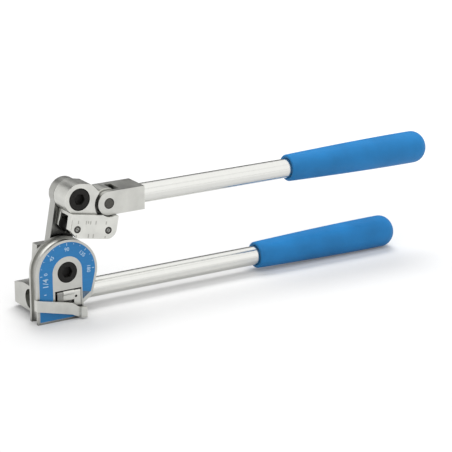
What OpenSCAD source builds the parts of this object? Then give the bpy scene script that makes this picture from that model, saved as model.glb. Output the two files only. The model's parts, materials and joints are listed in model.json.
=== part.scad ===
// Hand tube bender: a grooved bend die on a fixed handle, a link that swings round the die,
// and a roll support with two grooved rolls that a clevis handle presses along the tube.
// Frame: +Z up, +X towards the grips, +Y away from the scale. The origin is on the die's
// flat foot, straight below the die pivot, in the middle plane of the tube groove.

/* [Tube and bend die] */
// Outside diameter of the tube that is bent
tube_d = 6.35; // [5:0.05:8]
// Bend radius at the tube's centreline
bend_r = 19.05; // [17:0.05:24]
// Radial room between the tube and the grooves
groove_room = 0.075; // [0.02:0.005:0.2]
// Thickness of the bend die
die_t = 10.2; // [9:0.1:13]
// Height of the die's flanges past the tube's centreline
flange_rise = 0.65; // [0.2:0.05:1.2]
// Height of the die pivot above the foot
pivot_h = 29.3; // [28:0.1:36]
// Angle that the groove runs on past a half turn
overbend = 14; // [5:1:20]
// Straight groove after the arc
runout = 12.3; // [8:0.1:13]
// Distance from the pivot line to the toe of the foot
toe_x = 10.1; // [9:0.1:13]
// Height of the toe's upright edge
toe_h = 8.8; // [7:0.1:10]

/* [Scale plate] */
// Thickness of the scale plate, set flush in the die
scale_t = 0.5; // [0.3:0.1:1]
// Bare rim between the scale plate and the die's edge
scale_rim = 1.4; // [0.8:0.1:2.5]
// Radius of the bare arch inside the scale plate
arch_r = 9.6; // [8:0.1:11]

/* [Link] */
// Thickness of the link
link_t = 6.35; // [5:0.05:8]
// Width of the link between its eyes
link_w = 15.2; // [12:0.1:18]
// Radius of the link's eyes
eye_r = 9.3; // [9:0.1:11]
// Angle that the link leans towards the grips
lean = 10.5; // [0:0.5:20]

/* [Pivot screws] */
// Diameter of the screw heads
head_d = 12.8; // [11:0.1:14]
// Height of the screw heads
head_h = 6.3; // [4:0.1:7]
// Size across flats of the key sockets
key_af = 6; // [4:0.5:8]
// Diameter of the shoulders
shoulder_d = 9.5; // [8.5:0.1:10]
// Diameter of the threads
thread_d = 8; // [6:0.5:8]
// Outside diameter of the sleeve that the link turns on
sleeve_d = 12.6; // [11.6:0.1:13]
// Wall of the bearing bushes
bush_wall = 1.2; // [0.8:0.1:1.4]
// Outside diameter of the washers beside the link
washer_d = 18; // [16.5:0.1:18.6]

/* [Roll support] */
// Thickness of the support's head and height of the clevis
head_t = 14.3; // [14:0.1:18]
// Radius of the boss round the upper pivot
boss_r = 9.3; // [9:0.1:10.5]
// Distance from the upper pivot down to the roll axles
roll_drop = 17.2; // [16:0.1:20]
// Distance between the two roll axles
roll_pitch = 20.6; // [19:0.1:24]
// Radius of a roll at the floor of its groove
roll_floor_r = 3.3; // [3:0.1:4]
// Room between the rolls and a tube in the die, taken up when the support tilts
roll_room = 1.2; // [0.5:0.1:2]
// Length of a roll
roll_w = 9.5; // [8:0.1:10]
// Diameter of the roll axles
axle_d = 4.3; // [3.5:0.1:4.4]
// Thickness of the front cheek
cheek_t = 4.8; // [3:0.1:6]
// Reach of the cheeks past the axles, to the left and to the right
cheek_reach = [4.7, 5.6];
// Depth of the cheeks below the axles
cheek_drop = 5.3; // [4.5:0.1:5.5]
// Height of the roll pocket's roof above the axles
roof_h = 7.1; // [6:0.1:7.5]

/* [Clevis] */
// Place of the clevis pin, along and above the support from the upper pivot
pin_at = [20, -1.7];
// Diameter of the clevis pin
pin_d = 6.5; // [5:0.1:7]
// Thickness of the tongue in the clevis
tongue_t = 10.4; // [9:0.1:11.5]
// Depth of the clevis behind the support's head
clevis_back = 4.7; // [3.5:0.1:5]
// Length of the clevis from its pin to the rod
clevis_len = 23.7; // [21:0.1:30]
// Angle that the handle stands up from the support
handle_lift = 10.5; // [10:0.5:20]

/* [Handles] */
// Diameter of the handle rods
rod_d = 12; // [11:0.1:12.4]
// Bare rod between the clevis and the upper grip
upper_bare = 106.2; // [60:0.1:160]
// Bare rod between the bracket and the lower grip
lower_bare = 128.9; // [80:0.1:180]
// Length of a grip
grip_len = 105.2; // [80:0.1:140]
// Diameter of a grip at its mouth
grip_mouth_d = 16.8; // [15:0.1:19]
// Diameter of a grip near its end
grip_d = 20.4; // [18:0.1:20.8]
// Length of the grip's domed end
grip_dome = 9; // [6:0.1:10]

/* [Handle bracket] */
// Place of the lower rod behind the die's back face
rod_back = 7.5; // [7.4:0.1:10]
// Height of the lower rod above the foot
rod_h = 10.5; // [10.4:0.1:12]
// Left and right ends of the bracket's block
block_x = [-16, 12];
// Block wall below and above the rod's bore
block_wall = [1.5, 2];
// Depth of the block behind the rod
block_tail = 21.8; // [16:0.1:24]
// Thickness of the upright behind the link
upright_t = 6; // [4:0.1:8]
// Half widths of the upright at its foot and at its top
upright_w = [12, 9.4];
// Height of the upright above the die pivot
upright_top = 12.8; // [10:0.1:14]
// Diameter of the dowels between the die and the bracket
dowel_d = 3; // [2:0.1:3.5]
// Diameter of the pins that hold the rods
cross_pin_d = 3; // [2:0.1:3.5]

/* [Latch] */
// Thickness of the latch bar
latch_t = 2.1; // [1.8:0.1:3]
// Depth of the latch hinge behind the die's face
hinge_depth = 1.9; // [1.7:0.1:2.5]
// Height of the latch hinge below the die pivot
hinge_drop = 13; // [12.5:0.1:14]
// Diameter of the latch pin
hinge_d = 1.8; // [1.6:0.1:2.2]
// Left and right ends of the latch knuckle's block
knuckle_x = [-2.8, 4.2];
// Length of the thinner lug at the right of the block
lug_len = 4.2; // [3:0.1:4.4]
// Depth of the window in the die's face
window_depth = 6; // [5:0.1:7]
// Left and right ends of the window in the die
window_x = [-8.3, 8.9];
// Angle that the latch swings out
latch_swing = 50; // [30:1:55]
// Length of the hook beside the die's edge
hook_t = 1.5; // [1.2:0.1:3]
// Depth of the hook's lip behind the die's face
lip_depth = 0.5; // [0.3:0.1:1.2]
// Length of the thumb tab at the tail
tab_len = 3.7; // [3:0.1:5]
// Distance that the thumb tab stands out from the bar
tab_kick = 1.5; // [0.5:0.1:2.5]
// Upper edge of the bar above the foot: at the hook, the knee, the bend and the tail
bar_top = [16.2, 10.8, 7.5, 7.2];
// Lower edge of the bar above the foot, at the same places
bar_bottom = [9.4, 3.7, 1.2, 0.9];

/* [Fits] */
// Gap between pieces that move past each other
clear = 0.35; // [0.3:0.05:0.5]
// Radial gap of a turning fit
run_fit = 0.04; // [0.02:0.01:0.08]
// Radial gap of a fixed fit
set_fit = 0.02; // [0.01:0.01:0.05]

/* [Hidden] */
$fn = 96;
far = 400;
eps = 0.01;

// Depths along Y, from the front to the back
face_y = -die_t / 2;
back_y = die_t / 2;
head_y = head_t / 2;
link_y = max(head_y, back_y) + clear;
link_back_y = link_y + link_t;
upright_y = link_back_y + 2 * clear;
upright_back_y = upright_y + upright_t;
rod_y = back_y + rod_back;

// Die and tube
groove_r = tube_d / 2 + groove_room;
flange_r = bend_r + flange_rise;
scale_r = flange_r - scale_rim;

// Pivots and rolls
link_len = bend_r + groove_r + roll_room + roll_floor_r + roll_drop;
roll_flange_r = cheek_reach[0] - 0.1;
axle_r = axle_d / 2;
roll_x = [0, roll_pitch];
counterbore_r = head_d / 2 + clear;
shoulder_r = shoulder_d / 2;
thread_r = thread_d / 2;
sleeve_r = sleeve_d / 2;
nut_h = 4;
nut_af = 1.6 * thread_d;

// Roll support
inner_y = roll_w / 2 + clear / 2;
cheek_top = -boss_r + 1;
cheek_bottom = -roll_drop - cheek_drop;
cheek_left = -cheek_reach[0];
cheek_right = roll_pitch + cheek_reach[1];
head_flat = cheek_top + set_fit;
ear_r = head_t / 2;
ear_sweep_r = ear_r + 0.5;
shoulder_sweep_r = ear_r + 2.4;
tongue_y = [head_y - tongue_t, head_y];
slot_y = [tongue_y[0] - clear, tongue_y[1] + clear];
slot_end = ear_r + 1.6;
tongue_r = slot_end - clear;
clevis_y = [-head_y, head_y + clevis_back];
web_x = [roll_flange_r + clear, roll_pitch - roll_flange_r - clear];

// Handles
rod_r = rod_d / 2;
spigot_r = rod_r - 1.5;
spigot_len = 12;
grip_hold = grip_len - grip_dome;
handle_y = (clevis_y[0] + clevis_y[1]) / 2;
rod_recess = 10;
cross_pin_r = cross_pin_d / 2;

// Bracket
block_z = [rod_h - rod_r - block_wall[0], rod_h + rod_r + block_wall[1]];
block_back_y = rod_y + block_tail;
block_slope = 2.45;
block_round = 2;
block_edge = 2.6;
dowel_x = [window_x[0] - 4, toe_x - 2.6];
dowel_z = block_z[1] - 2.4;
dowel_y = [back_y - 3.4, back_y + 2.5];

// Latch
hinge_y = face_y + hinge_depth;
hinge_z = pivot_h - hinge_drop;
knuckle_r = hinge_depth + 0.1;
window_z = [bar_bottom[1] + 3.1, hinge_z + knuckle_r + clear];
latch_y = [face_y - clear - latch_t, face_y - clear];
hook_x = -flange_r - clear;
knee_x = knuckle_x[0] + 4.4;
tail_x = toe_x + 0.5;
tab_x = tail_x - tab_len;
bend_x = tab_x - tab_kick / 2;
web_top = bar_top[1] - 1.8;
knuckle_flat = hinge_d / 2 + 0.55;
collar_gap = 1.6;
undercut_z = [bar_top[1] - 1, bar_top[1] + 1.2];
undercut_y = face_y + clear + 1.4;

echo(link_len = link_len, roll_flange_r = roll_flange_r, latch_hinge = [0, hinge_y, hinge_z]);
echo(upper_pivot = [link_len * sin(lean), 0, pivot_h + link_len * cos(lean)]);

// Slab of a drawing in X and Z, between two depths along Y
module slab(y0, y1) {
    translate([0, y1, 0]) rotate([90, 0, 0]) linear_extrude(y1 - y0) children();
}

// Round bar along Y
module bar_y(r, y0, y1) {
    translate([0, y1, 0]) rotate([90, 0, 0]) cylinder(r = r, h = y1 - y0);
}

// Round bar along X
module bar_x(r, x0, x1) {
    translate([x0, 0, 0]) rotate([0, 90, 0]) cylinder(r = r, h = x1 - x0);
}

// Ring along Y
module ring_y(r_out, r_in, y0, y1) {
    difference() {
        bar_y(r_out, y0, y1);
        bar_y(r_in, y0 - 1, y1 + 1);
    }
}

module at_pivot() {
    translate([0, 0, pivot_h]) children();
}

module in_link() {
    at_pivot() rotate([0, lean, 0]) children();
}

module in_support() {
    in_link() translate([0, 0, link_len]) children();
}

module at_roll(i) {
    in_support() translate([roll_x[i], 0, -roll_drop]) children();
}

module at_clevis_pin() {
    translate([pin_at[0], 0, pin_at[1]]) children();
}

module in_clevis() {
    in_support() at_clevis_pin() rotate([0, -handle_lift, 0]) children();
}

// Upper rod's line, in the middle of the clevis's depth
module in_handle() {
    in_clevis() translate([0, handle_y, 0]) children();
}

module at_rod() {
    translate([0, rod_y, rod_h]) children();
}

// End of the straight run that leaves a circle of radius r at the overbend angle
function run_end(r, len) =
    [r * cos(overbend) - len * sin(overbend), -r * sin(overbend) - len * cos(overbend)];

// Die outline about the pivot: arc, run-out, cut corner, toe and foot
module die_outline() {
    circle(flange_r);
    polygon([
        [0, 0], [-flange_r, 0], [-flange_r, -pivot_h], [toe_x, -pivot_h], [toe_x, toe_h - pivot_h],
        run_end(flange_r, runout), run_end(flange_r, 0)]);
}

// Section of the tube groove: round floor with straight walls, out along +X
module groove_section() {
    circle(groove_r);
    translate([0, -groove_r]) square([2 * groove_r, 2 * groove_r]);
}

// Groove along the straight left side, round the arc and along the run-out
module tube_groove() {
    mirror([1, 0, 0]) translate([bend_r, 0, -pivot_h - 1])
        linear_extrude(pivot_h + 1 + eps) groove_section();
    rotate([90, 0, 0]) rotate([0, 0, -overbend])
        rotate_extrude(angle = 180 + overbend) translate([bend_r, 0]) groove_section();
    rotate([0, overbend, 0]) translate([bend_r, 0, -runout - far])
        linear_extrude(runout + far + eps) groove_section();
}

// Scale plate outline about the pivot: the die's outline less its rim, arch and window
module scale_outline(inset) {
    r = scale_r - inset;
    arch = arch_r + inset;
    low = scale_rim - pivot_h + inset;
    right = toe_x - scale_rim - inset;
    strip_top = window_z[0] - pivot_h - clear - inset;
    leg_rim = scale_rim + 0.9;
    leg_end = runout - leg_rim - inset;
    leg_low = toe_h - pivot_h + leg_rim + inset;
    difference() {
        union() {
            circle(r);
            polygon([
                [0, 0], [-r, 0], [-r, low], [right, low], [right, leg_low - 2], run_end(r, runout),
                run_end(r, 0)]);
        }
        circle(arch);
        translate([-arch, strip_top]) square([2 * arch, -strip_top]);
        polygon([
            [right, strip_top], [arch, strip_top], [arch, leg_low], run_end(r, leg_end),
            run_end(r + 9, leg_end), [far, -far], [right, -far]]);
    }
}

module bend_die() {
    color("silver") difference() {
        at_pivot() slab(face_y, back_y) die_outline();
        at_pivot() tube_groove();
        at_pivot() bar_y(shoulder_r + set_fit, face_y - 1, back_y + 1);
        at_pivot() bar_y(head_d / 2 + set_fit, face_y - 1, face_y + head_h);
        at_pivot() slab(face_y - 1, face_y + scale_t) scale_outline(0);
        translate([window_x[0], face_y - 1, window_z[0]])
            cube([window_x[1] - window_x[0], window_depth + 1, window_z[1] - window_z[0]]);
        translate([0, hinge_y, hinge_z]) bar_x(hinge_d / 2 + set_fit, window_x[0] - 3, far / 2);
        for (x = dowel_x) translate([x, 0, dowel_z]) bar_y(dowel_d / 2 + set_fit, dowel_y[0], back_y + 1);
    }
}

module scale_plate() {
    color("royalblue") at_pivot() slab(face_y, face_y + scale_t) scale_outline(set_fit);
}

// Socket head screw along Y: head, shoulder and thread, with a key socket
module shoulder_screw(head_y0, shoulder_end, thread_end) {
    color("dimgray") difference() {
        union() {
            bar_y(head_d / 2, head_y0, head_y0 + head_h);
            bar_y(shoulder_r, head_y0, shoulder_end);
            bar_y(thread_r, head_y0, thread_end);
        }
        translate([0, head_y0 - 1, 0]) rotate([-90, 0, 0])
            cylinder(d = key_af / cos(30), h = head_h / 2 + 1, $fn = 6);
    }
}

module pivot_screw() {
    at_pivot() shoulder_screw(face_y, upright_y, upright_back_y);
}

module pivot_sleeve() {
    color("gray") at_pivot() ring_y(sleeve_r, shoulder_r + set_fit, back_y, upright_y);
}

module pivot_washers() {
    color("darkgoldenrod") at_pivot() {
        ring_y(washer_d / 2, sleeve_r + set_fit, back_y, link_y - run_fit);
        ring_y(washer_d / 2, sleeve_r + set_fit, link_back_y + run_fit, upright_y);
    }
}

// Side view of the bracket's block, Y across and Z up, with its top sloping down to a round edge
module block_side() {
    edge_y = block_back_y - block_edge;
    edge_top = block_z[1] - block_slope;
    polygon([
        [back_y, block_z[0]], [block_back_y, block_z[0]], [block_back_y, edge_top - block_edge],
        [edge_y, edge_top], [upright_back_y, block_z[1]], [back_y, block_z[1]]]);
    translate([edge_y, edge_top - block_edge]) circle(block_edge);
}

// Plan of the bracket's block, with round corners at the back
module block_plan() {
    difference() {
        translate([block_x[0], back_y]) square([block_x[1] - block_x[0], block_back_y - back_y]);
        for (side = [0, 1]) {
            x = side == 0 ? block_x[0] : block_x[1] - block_round;
            translate([x, block_back_y - block_round]) difference() {
                square(block_round + 1);
                translate([side == 0 ? block_round : 0, 0]) circle(block_round);
            }
        }
    }
}

module handle_bracket() {
    color("silver") difference() {
        union() {
            intersection() {
                linear_extrude(far) block_plan();
                translate([-far, 0, 0]) rotate([90, 0, 90]) linear_extrude(2 * far) block_side();
            }
            slab(upright_y, upright_back_y) polygon([
                [-upright_w[0], rod_h], [upright_w[0], rod_h],
                [upright_w[1], pivot_h + upright_top], [-upright_w[1], pivot_h + upright_top]]);
        }
        at_rod() bar_x(rod_r + set_fit, -far, far);
        at_pivot() bar_y(thread_r + set_fit, back_y, far);
        at_pivot() bar_y(max(eye_r, washer_d / 2) + clear, 0, upright_y);
        for (x = dowel_x) translate([x, 0, dowel_z]) bar_y(dowel_d / 2 + set_fit, back_y - 1, dowel_y[1]);
        translate([0, rod_y, -1]) cylinder(r = cross_pin_r + set_fit, h = rod_h + rod_r + 1);
    }
}

module locating_dowels() {
    color("gray") for (x = dowel_x) translate([x, 0, dowel_z]) bar_y(dowel_d / 2, dowel_y[0], dowel_y[1]);
}

module lower_rod() {
    color("gainsboro") difference() {
        at_rod() bar_x(rod_r, block_x[0] + rod_recess, block_x[1] + lower_bare + grip_hold);
        translate([0, rod_y, -1]) cylinder(r = cross_pin_r + set_fit, h = rod_h + rod_r);
    }
}

module lower_rod_pin() {
    color("gray") translate([0, rod_y, block_z[0]])
        cylinder(r = cross_pin_r, h = rod_h + rod_r - 1 - block_z[0]);
}

// Grip along X from its mouth: it swells towards a domed end and is bored for the rod
module grip() {
    steps = 12;
    mouth_round = 1.5;
    body_len = grip_len - grip_dome;
    growth = (grip_d - grip_mouth_d) / 2;
    swell = [for (i = [0 : steps]) let (t = i / steps)
        [grip_mouth_d / 2 + growth * sin(90 * t), mouth_round + (body_len - mouth_round) * t]];
    dome = [for (i = [1 : steps]) let (a = 90 * i / steps)
        [grip_d / 2 * cos(a), body_len + grip_dome * sin(a)]];
    mouth = [for (i = [0 : 4]) let (a = 90 - 90 * i / 4)
        [grip_mouth_d / 2 - mouth_round + mouth_round * cos(a), mouth_round - mouth_round * sin(a)]];
    color("dodgerblue") difference() {
        rotate([0, 90, 0]) rotate_extrude() polygon(concat([[0, 0]], mouth, swell, dome));
        bar_x(rod_r + set_fit, -1, grip_hold);
    }
}

module lower_grip() {
    at_rod() translate([block_x[1] + lower_bare, 0, 0]) grip();
}

// Latch bar from its hook to its tail, in front of the die's face
module latch_outline() {
    xs = [hook_x - hook_t, knee_x, bend_x, tail_x];
    polygon([
        for (i = [0 : 3]) [xs[i], bar_top[i]],
        for (i = [3 : -1 : 0]) [xs[i], bar_bottom[i]]]);
}

// Plan of the latch bar, with its thumb tab set out from the die
module latch_plan() {
    xs = [hook_x - hook_t, bend_x, tab_x, tail_x];
    kicks = [0, 0, tab_kick, tab_kick];
    polygon([
        for (i = [0 : 3]) [xs[i], latch_y[0] - kicks[i]],
        for (i = [3 : -1 : 0]) [xs[i], latch_y[1] - kicks[i]]]);
}

// Bar of the latch, cut back where it would meet the die's face when it swings out
module latch_bar() {
    difference() {
        intersection() {
            slab(-far, far) latch_outline();
            linear_extrude(far) latch_plan();
        }
        translate([0, hinge_y, hinge_z]) rotate([latch_swing, 0, 0])
            translate([-far / 2, -hinge_depth - clear, -far / 2]) cube(far);
    }
}

module latch() {
    lug_r = knuckle_r - 0.35;
    low = window_z[0] + clear;
    color("silver") difference() {
        union() {
            latch_bar();
            intersection() {
                slab(latch_y[0], face_y + lip_depth) latch_outline();
                translate([hook_x - hook_t - 1, -far, 0]) cube([hook_t + 1, 2 * far, far]);
            }
            translate([knuckle_x[0], latch_y[1] - eps, low])
                cube([knuckle_x[1] - knuckle_x[0], hinge_y + 1 - latch_y[1], web_top - low]);
            translate([knuckle_x[0], face_y + clear, low])
                cube([knuckle_x[1] - knuckle_x[0], hinge_y + 1 - face_y - clear, hinge_z - low]);
            translate([knuckle_x[1] - eps, hinge_y - lug_r, low])
                cube([lug_len, lug_r + 1, hinge_z - low]);
            translate([0, hinge_y, hinge_z]) bar_x(knuckle_r, knuckle_x[0], knuckle_x[1]);
            translate([0, hinge_y, hinge_z]) bar_x(lug_r, knuckle_x[1] - eps, knuckle_x[1] + lug_len);
        }
        translate([0, hinge_y, hinge_z]) bar_x(hinge_d / 2 + run_fit, -far, far);
        translate([knuckle_x[0] - 1, hinge_y - far / 2, hinge_z + knuckle_flat]) cube(far);
        translate([knuckle_x[1] + 1.3, 0, hinge_z - 2.6]) bar_y(0.8, -far, hinge_y);
        translate([knuckle_x[0] - 1, latch_y[1], undercut_z[0]])
            cube([knuckle_x[1] - knuckle_x[0] + 1, undercut_y - latch_y[1], undercut_z[1] - undercut_z[0]]);
    }
}

module latch_pin() {
    color("gray") translate([0, hinge_y, hinge_z]) bar_x(hinge_d / 2, window_x[0] - 3, window_x[1] + 3);
}

// Footed collars on the pin that hold the latch knuckle in its place
module latch_spacers() {
    gaps = [
        [window_x[0] + collar_gap, knuckle_x[0] - run_fit],
        [knuckle_x[1] + lug_len + run_fit, window_x[1]]];
    collar_r = knuckle_r - 0.3;
    foot_z = window_z[0] + set_fit;
    color("gray") for (g = gaps) difference() {
        union() {
            translate([0, hinge_y, hinge_z]) bar_x(collar_r, g[0], g[1]);
            translate([g[0], hinge_y - collar_r, foot_z])
                cube([g[1] - g[0], 2 * collar_r, hinge_z - foot_z]);
        }
        translate([0, hinge_y, hinge_z]) bar_x(hinge_d / 2 + set_fit, g[0] - 1, g[1] + 1);
    }
}

module link() {
    color("silver") in_link() difference() {
        slab(link_y, link_back_y) {
            circle(eye_r);
            translate([0, link_len]) circle(eye_r);
            translate([-link_w / 2, 0]) square([link_w, link_len]);
        }
        bar_y(sleeve_r + run_fit + bush_wall + set_fit, 0, far);
        translate([0, 0, link_len]) bar_y(thread_r + set_fit, 0, far);
    }
}

module link_bush() {
    r = sleeve_r + run_fit;
    color("darkgoldenrod") in_link() ring_y(r + bush_wall, r, link_y, link_back_y);
}

module upper_pivot_screw() {
    in_support() shoulder_screw(-head_y, link_y, link_back_y + nut_h);
}

module upper_pivot_nut() {
    color("dimgray") in_support() difference() {
        translate([0, link_back_y, 0]) rotate([-90, 0, 0]) cylinder(d = nut_af / cos(30), h = nut_h, $fn = 6);
        bar_y(thread_r + set_fit, 0, far);
    }
}

// Outline of the cheeks about the upper pivot: cut at the lower left, round at the lower right
module cheek_outline() {
    corner = 6;
    difference() {
        union() {
            polygon([
                [cheek_left, cheek_top], [cheek_left, -roll_drop - 0.9], [cheek_left + 5.5, cheek_bottom],
                [cheek_right - corner, cheek_bottom], [cheek_right - corner, cheek_top]]);
            translate([cheek_right - corner, cheek_bottom + corner]) circle(corner);
            translate([cheek_right - corner - eps, cheek_bottom + corner])
                square([corner + eps, cheek_top - cheek_bottom - corner]);
        }
        translate(pin_at) circle(ear_sweep_r);
    }
}

// Head of the support: boss and shoulder, flat below, hollowed round the clevis
module head_outline() {
    top = boss_r;
    edge = pin_at[0] - ear_sweep_r;
    difference() {
        union() {
            circle(boss_r);
            polygon([
                [0, head_flat], [0, top], [6, top], [9, top - 1.9], [edge, pin_at[1] + ear_r - 0.7],
                [edge, pin_at[1]], [pin_at[0], pin_at[1]], [pin_at[0], head_flat]]);
        }
        translate([-far, head_flat - far]) square([2 * far, far]);
    }
}

// Tongue between the head and the clevis pin: its eye stands a little above the clevis
module tongue_outline() {
    neck_top = pin_at[1] + ear_r - 0.7;
    translate(pin_at) circle(tongue_r);
    polygon([
        [0, head_flat], [0, boss_r - 2], [9, boss_r - 1.9], [pin_at[0] - ear_sweep_r, neck_top],
        [pin_at[0], neck_top], [pin_at[0], pin_at[1] - tongue_r], [pin_at[0] - 6, head_flat]]);
}

module roll_support() {
    bush_r = shoulder_r + run_fit + bush_wall;
    floor_z = roof_h - roll_drop;
    stem_low = -link_len + bend_r + groove_r + 0.7;
    color("silver") in_support() difference() {
        union() {
            difference() {
                slab(-head_y, head_y) head_outline();
                at_clevis_pin() bar_y(shoulder_sweep_r, -far, tongue_y[0]);
            }
            slab(tongue_y[0], tongue_y[1]) tongue_outline();
            difference() {
                union() {
                    slab(inner_y, head_y) cheek_outline();
                    slab(-inner_y, inner_y) {
                        translate([cheek_left, floor_z])
                            square([web_x[1] - cheek_left, head_flat - floor_z + eps]);
                        translate([web_x[0], stem_low])
                            square([web_x[1] - web_x[0], head_flat - stem_low + eps]);
                    }
                }
                at_clevis_pin() bar_y(ear_sweep_r, -far, tongue_y[0]);
            }
        }
        bar_y(bush_r + set_fit, -far, far);
        bar_y(counterbore_r, -far, -head_y + head_h + clear);
        at_clevis_pin() bar_y(pin_d / 2 + run_fit + bush_wall + set_fit, -far, far);
        for (x = roll_x) translate([x, 0, -roll_drop]) bar_y(axle_r + set_fit, -far, far);
    }
}

module support_bush() {
    r = shoulder_r + run_fit;
    color("darkgoldenrod") in_support() ring_y(r + bush_wall, r, -head_y + head_h + clear, head_y);
}

module front_cheek() {
    color("silver") in_support() difference() {
        slab(-inner_y - cheek_t, -inner_y) cheek_outline();
        for (x = roll_x) translate([x, 0, -roll_drop]) bar_y(axle_r + set_fit, -far, far);
    }
}

// Axles riveted in the cheeks, with a shallow dimple in the front end
module roll_axles() {
    front = -inner_y - cheek_t;
    color("gray") for (i = [0, 1]) at_roll(i) difference() {
        bar_y(axle_r, front, head_y);
        bar_y(axle_r / 2, front - 1, front + 0.5);
    }
}

// Grooved roll that turns on its axle
module roll(i) {
    tube_at = roll_floor_r + groove_r;
    color("dimgray") at_roll(i) difference() {
        rotate([90, 0, 0]) rotate_extrude() difference() {
            translate([0, -roll_w / 2]) square([roll_flange_r, roll_w]);
            translate([tube_at, 0]) circle(groove_r);
        }
        bar_y(axle_r + run_fit, -roll_w, roll_w);
    }
}

module leading_roll() {
    roll(0);
}

module trailing_roll() {
    roll(1);
}

module tongue_bush() {
    r = pin_d / 2 + run_fit;
    color("darkgoldenrod") in_support() at_clevis_pin() ring_y(r + bush_wall, r, tongue_y[0], tongue_y[1]);
}

module clevis() {
    color("silver") difference() {
        in_clevis() {
            bar_y(ear_r, clevis_y[0], clevis_y[1]);
            translate([0, clevis_y[0], -ear_r]) cube([clevis_len, clevis_y[1] - clevis_y[0], 2 * ear_r]);
        }
        in_clevis() translate([-ear_r - 1, slot_y[0], -ear_r - 1])
            cube([ear_r + 1 + slot_end, slot_y[1] - slot_y[0], 2 * ear_r + 2]);
        in_clevis() bar_y(pin_d / 2 + set_fit, -far, far);
        in_handle() bar_x(spigot_r + set_fit, clevis_len - spigot_len - clear, far);
        in_handle() translate([clevis_len - spigot_len / 2, 0, 0])
            bar_y(cross_pin_r + set_fit, -spigot_r, far);
    }
}

module clevis_pin() {
    recess = 0.2;
    color("dimgray") in_clevis() bar_y(pin_d / 2, clevis_y[0] + recess, clevis_y[1] - recess);
}

module upper_rod() {
    color("gainsboro") in_handle() difference() {
        union() {
            bar_x(spigot_r, clevis_len - spigot_len, clevis_len + 1);
            bar_x(rod_r, clevis_len, clevis_len + upper_bare + grip_hold);
        }
        translate([clevis_len - spigot_len / 2, 0, 0]) bar_y(cross_pin_r + set_fit, -spigot_r, far);
    }
}

module upper_rod_pin() {
    color("gray") in_handle() translate([clevis_len - spigot_len / 2, 0, 0])
        bar_y(cross_pin_r, 1 - spigot_r, clevis_y[1] - handle_y);
}

module upper_grip() {
    in_handle() translate([clevis_len + upper_bare, 0, 0]) grip();
}

bend_die();
scale_plate();
pivot_screw();
pivot_sleeve();
pivot_washers();
handle_bracket();
locating_dowels();
lower_rod();
lower_rod_pin();
lower_grip();
latch();
latch_pin();
latch_spacers();
link();
link_bush();
upper_pivot_screw();
upper_pivot_nut();
roll_support();
support_bush();
front_cheek();
roll_axles();
leading_roll();
trailing_roll();
tongue_bush();
clevis();
clevis_pin();
upper_rod();
upper_rod_pin();
upper_grip();
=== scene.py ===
"""Looks of the hand tube bender: finishes, rounded edges, grips, scale print and studio."""

import json
import math

import bpy
from mathutils import Matrix, Vector

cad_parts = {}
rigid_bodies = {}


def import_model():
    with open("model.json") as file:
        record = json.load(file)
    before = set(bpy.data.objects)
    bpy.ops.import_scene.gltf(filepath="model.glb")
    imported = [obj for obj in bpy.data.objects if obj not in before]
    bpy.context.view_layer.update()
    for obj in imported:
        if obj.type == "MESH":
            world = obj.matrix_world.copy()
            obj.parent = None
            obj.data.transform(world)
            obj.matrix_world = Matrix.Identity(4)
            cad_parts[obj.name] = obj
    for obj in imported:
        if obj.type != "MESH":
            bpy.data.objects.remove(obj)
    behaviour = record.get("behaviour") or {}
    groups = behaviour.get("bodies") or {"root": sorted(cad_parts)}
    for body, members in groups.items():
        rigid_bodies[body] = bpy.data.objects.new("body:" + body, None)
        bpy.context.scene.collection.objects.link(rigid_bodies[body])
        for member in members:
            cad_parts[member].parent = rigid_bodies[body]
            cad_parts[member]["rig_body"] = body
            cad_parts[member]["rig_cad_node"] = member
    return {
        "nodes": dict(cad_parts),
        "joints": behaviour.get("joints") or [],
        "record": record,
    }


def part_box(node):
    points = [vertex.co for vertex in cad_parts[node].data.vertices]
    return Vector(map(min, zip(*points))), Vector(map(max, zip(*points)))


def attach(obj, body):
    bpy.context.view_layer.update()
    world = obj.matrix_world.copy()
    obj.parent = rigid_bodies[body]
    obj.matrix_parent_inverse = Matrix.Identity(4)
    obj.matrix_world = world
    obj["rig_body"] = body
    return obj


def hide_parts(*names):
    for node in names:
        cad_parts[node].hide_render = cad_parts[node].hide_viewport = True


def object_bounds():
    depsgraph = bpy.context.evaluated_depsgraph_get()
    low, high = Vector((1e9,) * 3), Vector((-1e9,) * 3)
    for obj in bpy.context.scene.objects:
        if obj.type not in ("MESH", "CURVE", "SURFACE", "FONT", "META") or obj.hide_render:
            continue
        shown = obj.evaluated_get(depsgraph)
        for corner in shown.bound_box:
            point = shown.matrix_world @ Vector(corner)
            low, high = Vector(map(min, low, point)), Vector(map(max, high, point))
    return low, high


bl_info = {
    "name": "Tube Bender Looks",
    "version": (1, 0, 0),
    "blender": (4, 5, 0),
    "location": "3D View > Sidebar > Tube Bender",
    "description": "Dresses the packed tube bender and sets up its studio",
    "category": "Object",
}

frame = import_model()
CAD_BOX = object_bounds()
SLOT_OF = {row["node"]: row["material_slot"] for row in frame["record"]["subparts"]}
BODIES = frame["record"]["behaviour"]["bodies"]
BODY_OF = {node: body for body, members in BODIES.items() for node in members}

MM = 0.001
QUARTER_TURN = math.pi / 2
# Points nearer than this to a cut count as on it: well below the print's thickness
CUT_SNAP = 0.001 * MM
# Points of a CAD mesh nearer than this are one point
WELD = 0.002 * MM
# Faces of a CAD mesh that turn by less than this are one flat face
FLAT = math.radians(0.5)
# Edges that turn by more are rounded: on the CAD pieces, and on the small pin ends
SHARP = math.radians(32)
SHARP_END = math.radians(40)
# Edges that turn by less are shaded smooth: on metal, and on the soft grips
SMOOTH = math.radians(35)
SMOOTH_GRIP = math.radians(60)

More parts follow.
